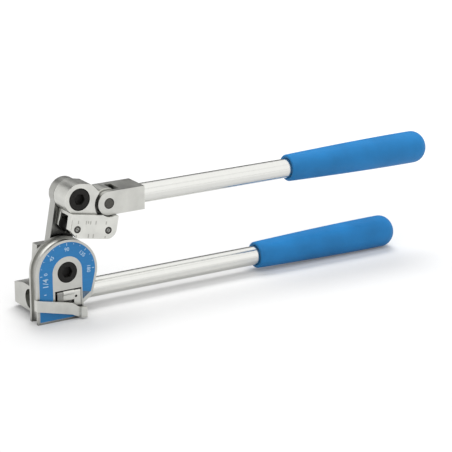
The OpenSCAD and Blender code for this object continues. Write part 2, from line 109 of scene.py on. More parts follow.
# Joint centres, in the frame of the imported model
PIVOTS = {joint["name"]: Vector(joint["pos_m"]) for joint in frame["joints"]}
DIE_PIVOT = PIVOTS["link_swing"]
UPPER_PIVOT = PIVOTS["support_tilt"]
LEADING_ROLL = PIVOTS["leading_roll_spin"]
TRAILING_ROLL = PIVOTS["trailing_roll_spin"]
# The roll support leans with the link: directions along its cheeks and up them
LEAN = math.atan2(UPPER_PIVOT.x - DIE_PIVOT.x, UPPER_PIVOT.z - DIE_PIVOT.z)
ALONG = Vector((math.cos(LEAN), 0, -math.sin(LEAN)))
UP = Vector((math.sin(LEAN), 0, math.cos(LEAN)))

# What all the colour properties share
COLOUR = {"subtype": "COLOR", "size": 4, "min": 0, "max": 1}
# Sockets of a Mix node that mixes colours
MIX_FACTOR, MIX_A, MIX_B, MIX_RESULT = 0, 6, 7, 2


def linear(code):
    """Linear colour with alpha from an sRGB hex code."""
    parts = [int(code[i : i + 2], 16) / 255 for i in (0, 2, 4)]
    return (*[c / 12.92 if c <= 0.04045 else ((c + 0.055) / 1.055) ** 2.4 for c in parts], 1.0)


def shade(colour, k):
    """Colour made lighter or darker by a factor."""
    return (*[min(1.0, c * k) for c in colour[:3]], 1.0)


def grey(level):
    """Linear grey of one level, for a ramp that feeds a number."""
    return (level, level, level, 1.0)


class BenderSizes(bpy.types.PropertyGroup):
    """Sizes of the dressed details"""

    edge_round: bpy.props.FloatProperty(
        name="Edge round",
        description="Width of the rounded edges on machined pieces",
        default=0.45 * MM,
        unit="LENGTH",
    )
    figure_height: bpy.props.FloatProperty(
        name="Figure height",
        description="Height of the figures on the scale",
        default=2.3 * MM,
        unit="LENGTH",
    )
    size_mark_height: bpy.props.FloatProperty(
        name="Size mark height",
        description="Height of the tube size mark on the scale's left leg",
        default=3.5 * MM,
        unit="LENGTH",
    )
    tick_step: bpy.props.FloatProperty(
        name="Tick step",
        description="Angle between two ticks of the scale",
        default=math.radians(15),
        unit="ROTATION",
    )
    ink: bpy.props.FloatProperty(
        name="Ink",
        description="Height of the print above the plate",
        default=0.04 * MM,
        unit="LENGTH",
    )


class BenderColours(bpy.types.PropertyGroup):
    """Colours of the finishes"""

    nickel: bpy.props.FloatVectorProperty(
        name="Satin nickel",
        description="Plated castings and plates",
        default=linear("C3C3BE"),
        **COLOUR,
    )
    rod: bpy.props.FloatVectorProperty(
        name="Polished rod",
        description="Handle rods",
        default=linear("D8D8D4"),
        **COLOUR,
    )
    grip: bpy.props.FloatVectorProperty(
        name="Grip vinyl",
        description="Dipped grips",
        default=linear("1D75B2"),
        **COLOUR,
    )
    plate: bpy.props.FloatVectorProperty(
        name="Scale plate",
        description="Anodised scale plate",
        default=linear("1F76B2"),
        **COLOUR,
    )
    print_white: bpy.props.FloatVectorProperty(
        name="Scale print",
        description="Figures and ticks",
        default=linear("B4D2E8"),
        **COLOUR,
    )
    black: bpy.props.FloatVectorProperty(
        name="Black oxide",
        description="Screws and rolls",
        default=linear("191816"),
        **COLOUR,
    )


def add_node(tree, kind, settings=None, links=None):
    """Adds a node with its settings and its incoming links. A ramp's stops are (place, colour)."""
    node = tree.nodes.new(kind)
    for key, value in (settings or {}).items():
        if key == "stops":
            for point, (place, colour) in zip(node.color_ramp.elements, value):
                point.position, point.color = place, colour
        elif isinstance(key, int) or key in node.inputs:
            node.inputs[key].default_value = value
        else:
            setattr(node, key, value)
    for key, socket in (links or {}).items():
        tree.links.new(socket, node.inputs[key])
    return node


def new_finish(name):
    """Node material of that name with its empty tree, or with None if it has been made already."""
    found = bpy.data.materials.get(name)
    if found:
        return found, None
    finish = bpy.data.materials.new(name)
    finish.use_nodes = True
    finish.node_tree.nodes.clear()
    return finish, finish.node_tree


def satin_nickel(tone=1.0, corner_shade_mm=4):
    """Bead-blasted steel with nickel plate: pale, even and soft, with a painted highlight along the
    edges that also stands for rubbing.

    tone is how light the piece is made beside plain nickel, set to how bright it shows under the
    light, which paints light and shade into it; the corner reach in mm is how far painted shade
    darkens its corners and the gaps next to it.
    """
    finish, tree = new_finish(f"satin_nickel_{tone * 100:.0f}_{corner_shade_mm}mm")
    if tree is None:
        return finish
    colour = shade(bpy.context.scene.bender_colours.nickel, tone)
    place = {"Vector": add_node(tree, "ShaderNodeTexCoord").outputs["Object"]}
    # plating clouds about 7 mm across
    clouds = add_node(tree, "ShaderNodeTexNoise", {"Scale": 1 / (7 * MM), "Detail": 3}, place)
    # blast grit is about 0.1 mm, drawn at 0.6 mm so that it shows
    grit = add_node(tree, "ShaderNodeTexNoise", {"Scale": 1 / (0.6 * MM), "Detail": 2}, place)
    cloudy = add_node(
        tree,
        "ShaderNodeValToRGB",
        {"stops": [(0.3, shade(colour, 0.9)), (0.7, shade(colour, 1.04))]},
        {"Fac": clouds.outputs["Fac"]},
    )
    # painted highlight: the edges are made brighter over about 0.5 mm, where light catches them and
    # handling rubs them
    rounded = add_node(tree, "ShaderNodeBevel", {"samples": 4, "Radius": 0.5 * MM})
    face = add_node(tree, "ShaderNodeNewGeometry")
    turn = add_node(
        tree,
        "ShaderNodeVectorMath",
        {"operation": "DOT_PRODUCT"},
        {0: rounded.outputs["Normal"], 1: face.outputs["Normal"]},
    )
    edge = add_node(
        tree,
        "ShaderNodeValToRGB",
        {"stops": [(0.86, grey(1)), (0.985, grey(0))]},
        {"Fac": turn.outputs["Value"]},
    )
    edge_highlit = add_node(
        tree,
        "ShaderNodeMix",
        {"data_type": "RGBA", MIX_B: shade(colour, 1.2)},
        {MIX_FACTOR: edge.outputs["Color"], MIX_A: cloudy.outputs["Color"]},
    )
    # painted shade: ambient occlusion darkens the corners and the gaps between parts
    corner = add_node(
        tree, "ShaderNodeAmbientOcclusion", {"samples": 8, "Distance": corner_shade_mm * MM}
    )
    corner_shade_ramp = add_node(
        tree,
        "ShaderNodeValToRGB",
        {"stops": [(0.3, linear("161513")), (0.8, grey(1))]},
        {"Fac": corner.outputs["AO"]},
    )
    corner_shaded = add_node(
        tree,
        "ShaderNodeMix",
        {"data_type": "RGBA", "blend_type": "MULTIPLY", MIX_FACTOR: 0.95},
        {MIX_A: edge_highlit.outputs[MIX_RESULT], MIX_B: corner_shade_ramp.outputs["Color"]},
    )
    rough = add_node(
        tree,
        "ShaderNodeValToRGB",
        {"stops": [(0.3, grey(0.3)), (0.7, grey(0.38))]},
        {"Fac": clouds.outputs["Fac"]},
    )
    bump = add_node(
        tree,
        "ShaderNodeBump",
        {"Strength": 0.12, "Distance": 0.05 * MM},
        {"Height": grit.outputs["Fac"]},
    )
    body = add_node(
        tree,
        "ShaderNodeBsdfPrincipled",
        {"Metallic": 1.0},
        {
            "Base Color": corner_shaded.outputs[MIX_RESULT],
            "Roughness": rough.outputs["Color"],
            "Normal": bump.outputs["Normal"],
        },
    )
    add_node(tree, "ShaderNodeOutputMaterial", links={"Surface": body.outputs["BSDF"]})
    return finish


def polished_rod():
    """Centreless-ground steel bar, polished and plated: bright, with faint rings round the bar."""
    finish, tree = new_finish("polished_steel_bar")
    if tree is None:
        return finish
    colour = tuple(bpy.context.scene.bender_colours.rod)
    place = {"Vector": add_node(tree, "ShaderNodeTexCoord").outputs["Object"]}
    # grinding rings are about 0.05 mm apart, drawn at 1.2 mm along the bar so that they show
    stretch = add_node(
        tree,
        "ShaderNodeMapping",
        {"Scale": (1 / (1.2 * MM), 1 / (40 * MM), 1 / (40 * MM))},
        place,
    )
    rings = add_node(
        tree,
        "ShaderNodeTexNoise",
        {"Scale": 1.0, "Detail": 3},
        {"Vector": stretch.outputs["Vector"]},
    )
    tone = add_node(
        tree,
        "ShaderNodeValToRGB",
        {"stops": [(0.3, shade(colour, 0.98)), (0.7, colour)]},
        {"Fac": rings.outputs["Fac"]},
    )
    rough = add_node(
        tree,
        "ShaderNodeValToRGB",
        {"stops": [(0.3, grey(0.17)), (0.7, grey(0.24))]},
        {"Fac": rings.outputs["Fac"]},
    )
    bump = add_node(
        tree,
        "ShaderNodeBump",
        {"Strength": 0.03, "Distance": 0.02 * MM},
        {"Height": rings.outputs["Fac"]},
    )
    body = add_node(
        tree,
        "ShaderNodeBsdfPrincipled",
        {"Metallic": 1.0},
        {
            "Base Color": tone.outputs["Color"],
            "Roughness": rough.outputs["Color"],
            "Normal": bump.outputs["Normal"],
        },
    )
    add_node(tree, "ShaderNodeOutputMaterial", links={"Surface": body.outputs["BSDF"]})
    return finish


def black_oxide(tone=1.0, gloss=0.3):
    """Heat-treated steel with black oxide: near black, oily satin, paler where it is rubbed.

    tone is how pale the piece is beside plain black, and gloss is its specular level.
    """
    finish, tree = new_finish(f"black_oxide_{tone * 100:.0f}")
    if tree is None:
        return finish
    colour = shade(bpy.context.scene.bender_colours.black, tone)
    place = {"Vector": add_node(tree, "ShaderNodeTexCoord").outputs["Object"]}
    # oxide mottle about 1.5 mm across
    mottle = add_node(tree, "ShaderNodeTexNoise", {"Scale": 1 / (1.5 * MM), "Detail": 4}, place)
    mottled = add_node(
        tree,
        "ShaderNodeValToRGB",
        {"stops": [(0.35, shade(colour, 0.7)), (0.7, shade(colour, 1.5))]},
        {"Fac": mottle.outputs["Fac"]},
    )
    rough = add_node(
        tree,
        "ShaderNodeValToRGB",
        {"stops": [(0.3, grey(0.42)), (0.7, grey(0.56))]},
        {"Fac": mottle.outputs["Fac"]},
    )
    bump = add_node(
        tree,
        "ShaderNodeBump",
        {"Strength": 0.1, "Distance": 0.04 * MM},
        {"Height": mottle.outputs["Fac"]},
    )
    body = add_node(
        tree,
        "ShaderNodeBsdfPrincipled",
        {"Metallic": 0.35, "Specular IOR Level": gloss},
        {
            "Base Color": mottled.outputs["Color"],
            "Roughness": rough.outputs["Color"],
            "Normal": bump.outputs["Normal"],
        },
    )
    add_node(tree, "ShaderNodeOutputMaterial", links={"Surface": body.outputs["BSDF"]})
    return finish


def grip_vinyl():
    """Dipped vinyl: satin blue with a fine pebbled skin and slow changes of tone from the dip."""
    finish, tree = new_finish("dipped_vinyl")
    if tree is None:
        return finish
    colour = tuple(bpy.context.scene.bender_colours.grip)
    place = {"Vector": add_node(tree, "ShaderNodeTexCoord").outputs["Object"]}
    # slow tone changes along the grip, about 18 mm long
    drift = add_node(tree, "ShaderNodeTexNoise", {"Scale": 1 / (18 * MM), "Detail": 3}, place)
    # pebbles of the skin are about 0.3 mm, drawn at 0.8 mm so that they show
    pebbles = add_node(tree, "ShaderNodeTexNoise", {"Scale": 1 / (0.8 * MM), "Detail": 2}, place)
    tone = add_node(
        tree,
        "ShaderNodeValToRGB",
        {"stops": [(0.3, shade(colour, 0.88)), (0.7, shade(colour, 1.1))]},
        {"Fac": drift.outputs["Fac"]},
    )
    rough = add_node(
        tree,
        "ShaderNodeValToRGB",
        {"stops": [(0.3, grey(0.5)), (0.7, grey(0.64))]},
        {"Fac": pebbles.outputs["Fac"]},
    )
    bump = add_node(
        tree,
        "ShaderNodeBump",
        {"Strength": 0.18, "Distance": 0.06 * MM},
        {"Height": pebbles.outputs["Fac"]},
    )
    body = add_node(
        tree,
        "ShaderNodeBsdfPrincipled",
        {"IOR": 1.5, "Specular IOR Level": 0.28},
        {
            "Base Color": tone.outputs["Color"],
            "Roughness": rough.outputs["Color"],
            "Normal": bump.outputs["Normal"],
        },
    )
    add_node(tree, "ShaderNodeOutputMaterial", links={"Surface": body.outputs["BSDF"]})
    return finish


def anodised_plate():
    """Dyed anodised aluminium: even blue with a soft sheen and a very fine cross grain."""
    finish, tree = new_finish("anodised_plate")
    if tree is None:
        return finish
    colour = tuple(bpy.context.scene.bender_colours.plate)
    place = {"Vector": add_node(tree, "ShaderNodeTexCoord").outputs["Object"]}
    # brushed grain under the dye, about 0.5 mm wide and 12 mm long
    stretch = add_node(
        tree,
        "ShaderNodeMapping",
        {"Scale": (1 / (12 * MM), 1 / (2 * MM), 1 / (0.5 * MM))},
        place,
    )
    grain = add_node(
        tree,
        "ShaderNodeTexNoise",
        {"Scale": 1.0, "Detail": 3},
        {"Vector": stretch.outputs["Vector"]},
    )
    tone = add_node(
        tree,
        "ShaderNodeValToRGB",
        {"stops": [(0.3, shade(colour, 0.93)), (0.7, shade(colour, 1.06))]},
        {"Fac": grain.outputs["Fac"]},
    )
    rough = add_node(
        tree,
        "ShaderNodeValToRGB",
        {"stops": [(0.3, grey(0.4)), (0.7, grey(0.52))]},
        {"Fac": grain.outputs["Fac"]},
    )
    body = add_node(
        tree,
        "ShaderNodeBsdfPrincipled",
        {"Metallic": 0.15},
        {"Base Color": tone.outputs["Color"], "Roughness": rough.outputs["Color"]},
    )
    add_node(tree, "ShaderNodeOutputMaterial", links={"Surface": body.outputs["BSDF"]})
    return finish


def scale_ink():
    """Pale screen-print ink: matt, with slightly uneven cover."""
    finish, tree = new_finish("scale_ink")
    if tree is None:
        return finish
    colour = tuple(bpy.context.scene.bender_colours.print_white)
    place = {"Vector": add_node(tree, "ShaderNodeTexCoord").outputs["Object"]}
    # ink cover changes over about 0.7 mm
    cover = add_node(tree, "ShaderNodeTexNoise", {"Scale": 1 / (0.7 * MM), "Detail": 2}, place)
    tone = add_node(
        tree,
        "ShaderNodeValToRGB",
        {"stops": [(0.3, shade(colour, 0.85)), (0.65, colour)]},
        {"Fac": cover.outputs["Fac"]},
    )
    body = add_node(
        tree,
        "ShaderNodeBsdfPrincipled",
        {"Roughness": 0.6},
        {"Base Color": tone.outputs["Color"]},
    )
    add_node(tree, "ShaderNodeOutputMaterial", links={"Surface": body.outputs["BSDF"]})
    return finish


def slate_ink():
    """Dark slate-blue panel at the end of the scale's right leg: matt, a little mottled."""
    finish, tree = new_finish("slate_ink")
    if tree is None:
        return finish
    place = {"Vector": add_node(tree, "ShaderNodeTexCoord").outputs["Object"]}
    # mottle about 1.2 mm across
    cover = add_node(tree, "ShaderNodeTexNoise", {"Scale": 1 / (1.2 * MM), "Detail": 3}, place)
    tone = add_node(
        tree,
        "ShaderNodeValToRGB",
        {"stops": [(0.3, linear("3E5468")), (0.7, linear("5C7287"))]},
        {"Fac": cover.outputs["Fac"]},
    )
    body = add_node(
        tree,
        "ShaderNodeBsdfPrincipled",
        {"Roughness": 0.55},
        {"Base Color": tone.outputs["Color"]},
    )
    add_node(tree, "ShaderNodeOutputMaterial", links={"Surface": body.outputs["BSDF"]})
    return finish


def stamped_mark():
    """Stamped mark filled with old oil: grey beside the plate, and dull."""
    finish, tree = new_finish("stamped_mark")
    if tree is None:
        return finish
    place = {"Vector": add_node(tree, "ShaderNodeTexCoord").outputs["Object"]}
    # the oil fill changes over about 0.5 mm
    fill = add_node(tree, "ShaderNodeTexNoise", {"Scale": 1 / (0.5 * MM), "Detail": 2}, place)
    tone = add_node(
        tree,
        "ShaderNodeValToRGB",
        {"stops": [(0.3, linear("96958F")), (0.7, linear("B2B1AB"))]},
        {"Fac": fill.outputs["Fac"]},
    )
    body = add_node(
        tree,
        "ShaderNodeBsdfPrincipled",
        {"Roughness": 0.6},
        {"Base Color": tone.outputs["Color"]},
    )
    add_node(tree, "ShaderNodeOutputMaterial", links={"Surface": body.outputs["BSDF"]})
    return finish


def dark_steel():
    """Hardened pin end with worn oxide: dark grey metal with a peened grain."""
    finish, tree = new_finish("worn_pin_end")
    if tree is None:
        return finish
    place = {"Vector": add_node(tree, "ShaderNodeTexCoord").outputs["Object"]}
    # peening marks about 0.6 mm across
    peen = add_node(tree, "ShaderNodeTexVoronoi", {"Scale": 1 / (0.6 * MM)}, place)
    tone = add_node(
        tree,
        "ShaderNodeValToRGB",
        {"stops": [(0.1, linear("3A3937")), (0.6, linear("555450"))]},
        {"Fac": peen.outputs["Distance"]},
    )
    body = add_node(
        tree,
        "ShaderNodeBsdfPrincipled",
        {"Metallic": 0.8, "Roughness": 0.45},
        {"Base Color": tone.outputs["Color"]},
    )
    add_node(tree, "ShaderNodeOutputMaterial", links={"Surface": body.outputs["BSDF"]})
    return finish


def plain_steel():
    """Ground pin stock: mid grey with a turned grain."""
    finish, tree = new_finish("ground_pin_steel")
    if tree is None:
        return finish
    place = {"Vector": add_node(tree, "ShaderNodeTexCoord").outputs["Object"]}
    # turning marks about 0.4 mm apart
    marks = add_node(tree, "ShaderNodeTexNoise", {"Scale": 1 / (0.4 * MM), "Detail": 2}, place)
    tone = add_node(
        tree,
        "ShaderNodeValToRGB",
        {"stops": [(0.3, linear("7C7C79")), (0.7, linear("9A9A96"))]},
        {"Fac": marks.outputs["Fac"]},
    )
    rough = add_node(
        tree,
        "ShaderNodeValToRGB",
        {"stops": [(0.3, grey(0.3)), (0.7, grey(0.42))]},
        {"Fac": marks.outputs["Fac"]},
    )
    body = add_node(
        tree,
        "ShaderNodeBsdfPrincipled",
        {"Metallic": 1.0},
        {"Base Color": tone.outputs["Color"], "Roughness": rough.outputs["Color"]},
    )
    add_node(tree, "ShaderNodeOutputMaterial", links={"Surface": body.outputs["BSDF"]})
    return finish


def bearing_bronze():
    """Sintered bronze: warm and matt, with fine pores."""
    finish, tree = new_finish("sintered_bronze")
    if tree is None:
        return finish
    place = {"Vector": add_node(tree, "ShaderNodeTexCoord").outputs["Object"]}
    # pores about 0.3 mm apart
    pores = add_node(tree, "ShaderNodeTexVoronoi", {"Scale": 1 / (0.3 * MM)}, place)
    tone = add_node(
        tree,
        "ShaderNodeValToRGB",
        {"stops": [(0.1, linear("6E4F28")), (0.45, linear("B08A52"))]},
        {"Fac": pores.outputs["Distance"]},
    )
    body = add_node(
        tree,
        "ShaderNodeBsdfPrincipled",
        {"Metallic": 1.0, "Roughness": 0.5},
        {"Base Color": tone.outputs["Color"]},
    )
    add_node(tree, "ShaderNodeOutputMaterial", links={"Surface": body.outputs["BSDF"]})
    return finish


FINISHES = {
    "satin_nickel": satin_nickel,
    "scale_blue": anodised_plate,
    "black_steel": black_oxide,
    "plain_steel": plain_steel,
    "bright_steel": polished_rod,
    "bronze": bearing_bronze,
    "grip_blue": grip_vinyl,
}
# Pieces that differ from their slot's plain finish. The nickel pieces' tones are set to how bright
# each one shows under the light, so they paint light and shade;
# the corner reach sets how far painted shade spreads from their corners; the rolls are darkened as
# painted shade; the pins are paler where they are rubbed
VARIANTS = {
    # painted shade: the link is made darker, with far-reaching corner shade, for its shaded front
    # face
    "link": {"tone": 0.74, "corner_shade_mm": 14},
    "bend_die": {"tone": 0.94, "corner_shade_mm": 6},
    "handle_bracket": {"tone": 0.95},
    "front_cheek": {"tone": 1.2},
    "latch": {"tone": 1.12},
    "roll_support": {"tone": 1.12, "corner_shade_mm": 2},
    "clevis": {"tone": 1.05},
    # painted shade: the rolls are darker and duller than plain black oxide, so that their pocket
    # reads as shaded
    "leading_roll": {"tone": 0.4, "gloss": 0.1},
    "trailing_roll": {"tone": 0.4, "gloss": 0.1},
    "roll_axles": {"tone": 3.5},
    "clevis_pin": {"tone": 3.5},
}


def finish_of(node):
    """Finish of a CAD node: that of its slot, with what the piece has of its own."""
    return FINISHES[SLOT_OF[node]](**VARIANTS.get(node, {}))


def coat(obj, finish):
    """Gives obj one finish all over."""
    obj.data.materials.clear()
    obj.data.materials.append(finish)


def only(obj):
    """Makes obj the one selected and active object."""
    bpy.ops.object.select_all(action="DESELECT")
    obj.select_set(True)
    bpy.context.view_layer.objects.active = obj


def named_active(name):
    """The object that the last operator made, with its name set."""
    obj = bpy.context.view_layer.objects.active
    obj.name = obj.data.name = name
    return obj


def added(name, operator, **options):
    """The object that one of Blender's add operators makes, alone selected and named."""
    bpy.ops.object.select_all(action="DESELECT")
    operator(**options)
    return named_active(name)


def twin(obj, name):
    """Copy of obj with a mesh of its own, alone selected and named."""
    only(obj)
    bpy.ops.object.duplicate()
    return named_active(name)


def settle(obj):
    """Puts obj's place, turn and size into its mesh."""
    only(obj)
    bpy.ops.object.transform_apply(location=True, rotation=True, scale=True)


def apply_all(obj):
    """Applies obj's modifiers in order."""
    only(obj)
    for modifier in list(obj.modifiers):
        bpy.ops.object.modifier_apply(modifier=modifier.name)


def open_edit():
    """Enters edit mode on the active mesh, with all of it selected."""
    bpy.ops.object.mode_set(mode="EDIT")
    bpy.ops.mesh.select_all(action="SELECT")


def close_edit():
    """Turns all the faces outwards and leaves edit mode."""
    bpy.ops.mesh.select_all(action="SELECT")
    bpy.ops.mesh.normals_make_consistent(inside=False)
    bpy.ops.object.mode_set(mode="OBJECT")


def clear_selection(kind):
    """Deselects the active mesh, so that edges or faces can be selected in code."""
    bpy.ops.object.mode_set(mode="EDIT")
    bpy.ops.mesh.select_mode(type=kind)
    bpy.ops.mesh.select_all(action="DESELECT")
    bpy.ops.object.mode_set(mode="OBJECT")


def cut_off(place, outwards):
    """Cuts away what lies beyond a plane from the mesh in edit mode, and closes the cut."""
    bpy.ops.mesh.select_all(action="SELECT")
    bpy.ops.mesh.bisect(
        plane_co=place,
        plane_no=outwards,
        use_fill=True,
        clear_outer=True,
        threshold=CUT_SNAP,
    )


def round_edges(obj, width, turn):
    """Rounds obj's edges that turn by more than an angle, and shades the soft ones smooth."""
    bevel = obj.modifiers.new("Rounded edges", "BEVEL")
    bevel.width = width
    bevel.segments = 2
    bevel.limit_method = "ANGLE"
    bevel.angle_limit = turn
    apply_all(obj)
    bpy.ops.object.shade_smooth_by_angle(angle=SMOOTH)


def loose_copy(node, name):
    """Free copy of a CAD node with its loose triangles merged into faces."""
    piece = twin(frame["nodes"][node], name)
    piece.parent = None
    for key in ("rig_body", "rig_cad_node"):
        if key in piece:
            del piece[key]
    open_edit()
    bpy.ops.mesh.remove_doubles(threshold=WELD)
    bpy.ops.mesh.dissolve_limited(angle_limit=FLAT)
    bpy.ops.object.mode_set(mode="OBJECT")
    if piece.data.has_custom_normals:
        bpy.ops.mesh.customdata_custom_splitnormals_clear()
    return piece


def ease_rear_cheek(piece):
    """Chamfers the front left edge of the rear cheek, past which the tube slides in."""
    chamfer = 1.1 * MM
    # the cheek's front face lies in a thin layer just behind the rolls
    layer, slack = 0.4 * MM, 0.05 * MM
    rolls_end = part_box("leading_roll")[1].y
    points = piece.data.vertices
    places = [((p.co - LEADING_ROLL).dot(ALONG), p.co.y - rolls_end) for p in points]
    left = min(x for x, y in places if 0 < y < layer)
    only(piece)
    clear_selection("EDGE")
    for edge in piece.data.edges:
        ends = [places[i] for i in edge.vertices]
        edge.select = all(x < left + slack and 0 < y < layer for x, y in ends)
    if not any(edge.select for edge in piece.data.edges):
        raise RuntimeError("the rear cheek's edge wasn't found")
    bpy.ops.object.mode_set(mode="EDIT")
    bpy.ops.mesh.bevel(offset=chamfer, segments=1, affect="EDGES")
    bpy.ops.object.mode_set(mode="OBJECT")


def stand_in(piece, node):
    """Shows a piece in the place of a CAD node, in the node's finish and on its body."""
    coat(piece, finish_of(node))
    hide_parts(node)
    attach(piece, BODY_OF[node])


def dress(node, width):
    """Shows a copy of a CAD node with rounded edges in the node's place."""
    piece = loose_copy(node, node + "_finished")
    if node == "roll_support":
        ease_rear_cheek(piece)
    round_edges(piece, width, SHARP)
    flatten = piece.modifiers.new("Flat faces stay flat", "WEIGHTED_NORMAL")
    flatten.keep_sharp = True
    apply_all(piece)
    stand_in(piece, node)


class BENDER_OT_plain_nodes(bpy.types.Operator):
    """Gives every CAD node its finish"""

    bl_idname = "bender.plain_nodes"
    bl_label = "Finish the CAD nodes"

    def execute(self, context):
        for node, obj in frame["nodes"].items():
            coat(obj, finish_of(node))
            only(obj)
            bpy.ops.object.shade_smooth_by_angle(angle=SMOOTH)
        return {"FINISHED"}


class BENDER_OT_machined(bpy.types.Operator):
    """Rounds the edges of the plated castings and plates"""

    bl_idname = "bender.machined"
    bl_label = "Round the machined pieces"

    NODES = (
        "bend_die",
        "handle_bracket",
        "link",
        "roll_support",
        "front_cheek",
        "clevis",
        "latch",
    )

    def execute(self, context):
        for node in self.NODES:
            dress(node, context.scene.bender_sizes.edge_round)
        return {"FINISHED"}


class BENDER_OT_black_steel(bpy.types.Operator):
    """Rounds the edges of the black screws, rolls and pins"""

    bl_idname = "bender.black_steel"
    bl_label = "Round the black steel"

    NODES = (
        "pivot_screw",
        "upper_pivot_screw",
        "upper_pivot_nut",
        "clevis_pin",
        "roll_axles",
        "leading_roll",
        "trailing_roll",
    )
    # Turned edges are finer than the machined ones, by this factor
    FINER = 0.8

    def execute(self, context):
        for node in self.NODES:
            dress(node, self.FINER * context.scene.bender_sizes.edge_round)
        return {"FINISHED"}


class BENDER_OT_grips(bpy.types.Operator):
    """Models a dipped grip from the bore's end round the mouth to the dome, and copies it"""

    bl_idname = "bender.grips"
    bl_label = "Model the grips"

    # Radius of the skin at the mouth and of the bore round the rod, and length of the domed end
    MOUTH, BORE, DOME = 8.4 * MM, 6.03 * MM, 9 * MM
    # Rolled rim of the mouth: distance from the mouth's face, and from the bore or from the skin
    INNER_RIM = ((0.5 * MM, 0.15 * MM), (0.12 * MM, 0.6 * MM), (0, 1.3 * MM))
    OUTER_RIM = ((0, 1.1 * MM), (0.22 * MM, 0.45 * MM), (0.8 * MM, 0.08 * MM))
    # The skin starts behind the rim and swells to its full radius at the dome
    SKIN_FROM = 1.5 * MM
    SIDES, SKIN_RINGS, DOME_RINGS = 72, 24, 12

    def execute(self, context):
        lower = self.model("lower_grip")
        upper = twin(lower, "upper_grip_finished")
        upper.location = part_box("upper_grip")[0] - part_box("lower_grip")[0]
        settle(upper)
        stand_in(lower, "lower_grip")
        stand_in(upper, "upper_grip")
        return {"FINISHED"}

    def rings(self, length, radius):
        """Rings of a grip's outline: distance from the mouth's face, and radius."""
        body = length - self.DOME
        rings = [(body, self.BORE)]
        rings += [(x, self.BORE + out) for x, out in self.INNER_RIM]
        rings += [(x, self.MOUTH - inset) for x, inset in self.OUTER_RIM]
        for i in range(1, self.SKIN_RINGS + 1):
            t = i / self.SKIN_RINGS
            swell = (radius - self.MOUTH) * math.sin(QUARTER_TURN * t)
            rings.append((self.SKIN_FROM + (body - self.SKIN_FROM) * t, self.MOUTH + swell))
        for i in range(1, self.DOME_RINGS):
            a = QUARTER_TURN * i / self.DOME_RINGS
            rings.append((body + self.DOME * math.sin(a), radius * math.cos(a)))
        return rings

    def model(self, node):
        """Closed grip over a CAD grip's box."""
        low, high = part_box(node)
        axis = (low + high) / 2
        length = high.x - low.x
        rings = self.rings(length, (high.z - low.z) / 2)
        piece = added(
            node + "_finished",
            bpy.ops.mesh.primitive_circle_add,
            vertices=self.SIDES,
            radius=rings[0][1],
            fill_type="TRIFAN",
            location=(low.x + rings[0][0], axis.y, axis.z),
            rotation=(0, QUARTER_TURN, 0),
        )
        settle(piece)
        bpy.ops.object.mode_set(mode="EDIT")
        bpy.ops.mesh.select_all(action="DESELECT")
        bpy.ops.mesh.select_non_manifold()
        for (x0, r0), (x1, r1) in zip(rings, rings[1:]):
            bpy.ops.mesh.extrude_region_move(TRANSFORM_OT_translate={"value": (x1 - x0, 0, 0)})
            bpy.ops.transform.resize(
                value=(1, r1 / r0, r1 / r0), center_override=(low.x + x1, axis.y, axis.z)
            )
        tip = length - rings[-1][0]
        bpy.ops.mesh.extrude_region_move(TRANSFORM_OT_translate={"value": (tip, 0, 0)})
        bpy.ops.mesh.merge(type="CENTER")
        close_edit()
        bpy.ops.object.shade_smooth_by_angle(angle=SMOOTH_GRIP)
        return piece


def on_plate(x, z):
    """Place on the scale plate's face, from the die's pivot."""
    return Vector((DIE_PIVOT.x + x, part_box("scale_plate")[0].y, DIE_PIVOT.z + z))


def on_scale(radius, angle):
    """Place on the scale plate's face: angle runs clockwise from the left end of the scale."""
    return on_plate(-radius * math.cos(angle), radius * math.sin(angle))


def on_face(place, turn):
    """Matrix that lays a flat shape on a front face, turned about the face's normal."""
    upright = Matrix.Rotation(QUARTER_TURN, 4, "X")
    return Matrix.Translation(place) @ Matrix.Rotation(turn, 4, "Y") @ upright


def printed_text(name, text, height, place, turn):
    """Flat figures on the scale plate, with their top outwards."""
    # a figure fills 0.72 of the font's size, and is printed a little bold
    fill, bold = 0.72, 0.012
    obj = added(name, bpy.ops.object.text_add)
    obj.data.body = text
    obj.data.size = height / fill
    obj.data.align_x = "CENTER"
    obj.data.align_y = "CENTER"
    obj.data.extrude = bpy.context.scene.bender_sizes.ink
    obj.data.offset = bold * height
    obj.data.resolution_u = 4
    bpy.ops.object.convert(target="MESH")
    obj = named_active(name)
    obj.matrix_world = on_face(place, turn)
    settle(obj)
    coat(obj, scale_ink())
    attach(obj, "base")


def flat_bar(name, place, turn, width, length, finish):
    """Thin printed or stamped bar with round corners on a front face."""
    corner = 0.08 * MM
    ink = bpy.context.scene.bender_sizes.ink
    obj = added(name, bpy.ops.mesh.primitive_plane_add, size=1)
    obj.matrix_world = on_face(place, turn) @ Matrix.Diagonal((width, length, 1, 1))
    settle(obj)
    open_edit()
    bpy.ops.mesh.bevel(offset=corner, segments=2, affect="VERTICES")
    bpy.ops.mesh.select_all(action="SELECT")
    bpy.ops.mesh.extrude_region_move(TRANSFORM_OT_translate={"value": (0, -ink, 0)})
    close_edit()
    coat(obj, finish)
    return obj


